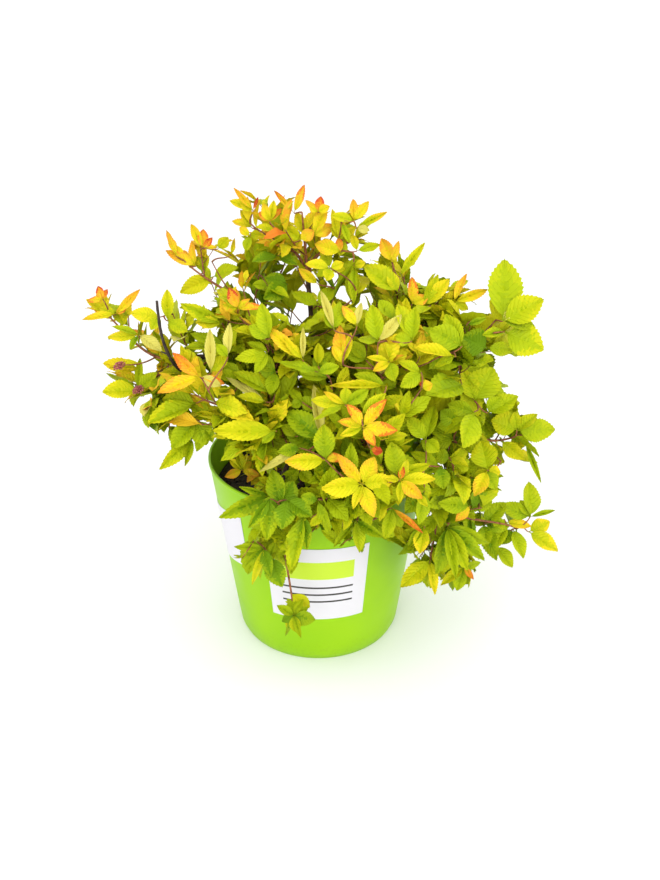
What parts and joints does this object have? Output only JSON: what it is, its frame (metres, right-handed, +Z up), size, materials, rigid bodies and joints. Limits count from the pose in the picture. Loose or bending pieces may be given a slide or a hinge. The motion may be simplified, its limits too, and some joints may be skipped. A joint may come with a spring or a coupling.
{
  "type": "potted spirea shrub",
  "caption": "Young golden spirea shrub in a lime-green plastic nursery pot: woody stems rise from the root ball to sprays of yellow, green and orange-tipped leaves that spill over the rim.",
  "frame": {"origin": "centre of the pot's flat underside, where it stands", "axes": "+Z up along the pot's axis; -Y towards the front, where the large label is; +X towards the side with the broadest leaves"},
  "size_m": [0.3887, 0.3285, 0.3931],
  "materials": {
    "pot": "satin moulded plastic",
    "root_ball": "moist, crumbly potting compost",
    "label": "satin film",
    "bark": "rough young bark",
    "dead_wood": "dry, weathered",
    "foliage_amber": "soft leaf sheen",
    "foliage_gold": "soft leaf sheen",
    "foliage_lime": "soft leaf sheen",
    "foliage_green": "soft leaf sheen"
  },
  "bodies": {
    "root": {"container": "pot", "root_ball": "root_ball", "front_label": "label", "side_label": "label", "stock": "bark", "dead_stub": "dead_wood", "bough_top": "bark", "bough_upper_left": "bark", "bough_left": "bark", "bough_left_front": "bark", "bough_front_left": "bark", "bough_front": "bark", "bough_right": "bark", "bough_right_high": "bark", "bough_back_right": "bark", "bough_back_left": "bark", "bough_crest": "bark", "bough_mid_left": "bark", "bough_centre_right": "bark", "bough_low_right": "bark", "bough_front_low": "bark", "spray_top": "foliage_amber", "spray_top_left": "foliage_amber", "spray_top_right": "foliage_gold", "spray_upper_left": "foliage_amber", "spray_inner_left": "foliage_lime", "spray_far_left": "foliage_amber", "spray_left_low": "foliage_lime", "spray_left_droop": "foliage_green", "spray_left_front": "foliage_gold", "spray_left_sill": "foliage_gold", "spray_heart_left": "foliage_green", "spray_front_left": "foliage_lime", "spray_front_trail": "foliage_lime", "spray_front": "foliage_amber", "spray_front_right": "foliage_gold", "spray_right_side": "foliage_lime", "spray_right_low": "foliage_green", "spray_right_high": "foliage_lime", "spray_right_mid": "foliage_green", "spray_back_right": "foliage_lime", "spray_back_crown": "foliage_lime", "spray_back_low_right": "foliage_green", "spray_back_left": "foliage_lime", "spray_back_high": "foliage_gold", "spray_back_low": "foliage_green", "spray_crest": "foliage_gold", "spray_upper_right": "foliage_lime", "spray_mid_left": "foliage_amber", "spray_centre": "foliage_lime", "spray_heart_high": "foliage_lime", "spray_centre_right": "foliage_gold", "spray_heart": "foliage_lime", "spray_right_inner": "foliage_lime", "spray_low_right": "foliage_green", "spray_low_inner": "foliage_gold", "spray_front_mid": "foliage_amber", "spray_sill": "foliage_green", "spray_front_low": "foliage_green", "spray_sprig": "foliage_amber"}
  },
  "joints": []
}
